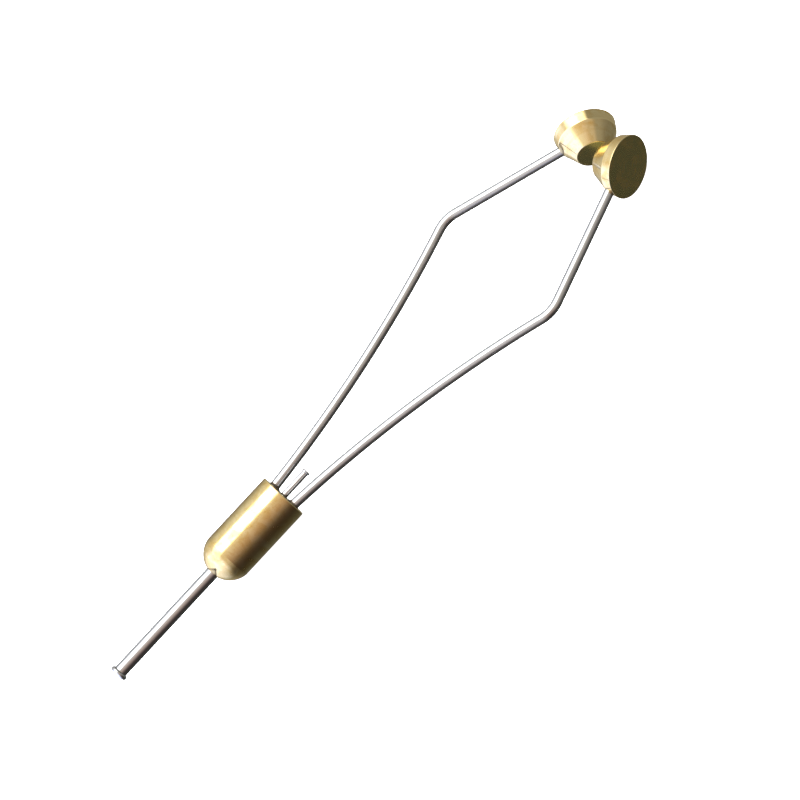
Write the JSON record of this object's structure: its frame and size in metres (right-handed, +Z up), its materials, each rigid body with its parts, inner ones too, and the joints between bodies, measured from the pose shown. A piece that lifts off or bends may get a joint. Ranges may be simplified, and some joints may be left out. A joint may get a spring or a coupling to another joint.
{
  "type": "thread bobbin holder",
  "caption": "Hand-held thread bobbin holder: brass barrel with a thin lipped thread tube, and two sprung wire arms that end in brass buttons and grip a spool.",
  "frame": {"origin": "middle of the barrel's straight part, on its axis", "axes": "+X along the tool from the thread tube's tip to the buttons, +Y towards the left arm, +Z up, square to the plane of the two arms, with the tool lying flat"},
  "size_m": [0.1135, 0.029, 0.0098],
  "materials": {
    "brass": "turned and polished",
    "tube_steel": "drawn and polished",
    "spring_wire": "drawn and polished"
  },
  "bodies": {
    "holder": {"barrel": "brass", "thread_tube": "tube_steel", "rear_guide_tube": "tube_steel", "left_arm_root": "spring_wire", "right_arm_root": "spring_wire"},
    "left_spring": {"left_arm": "spring_wire", "left_button": "brass"},
    "right_spring": {"right_arm": "spring_wire", "right_button": "brass"}
  },
  "joints": [
    {"name": "left_arm_flex", "type": "hinge", "parent": "holder", "child": "left_spring", "pos_m": [0.0173, 0.00409, 0], "axis": [0, 0, 1], "range_deg": [0, 14], "stiffness_Nm_per_rad": 1.9},
    {"name": "right_arm_flex", "type": "hinge", "parent": "holder", "child": "right_spring", "pos_m": [0.0173, -0.00409, 0], "axis": [0, 0, -1], "range_deg": [0, 14], "stiffness_Nm_per_rad": 1.9}
  ]
}
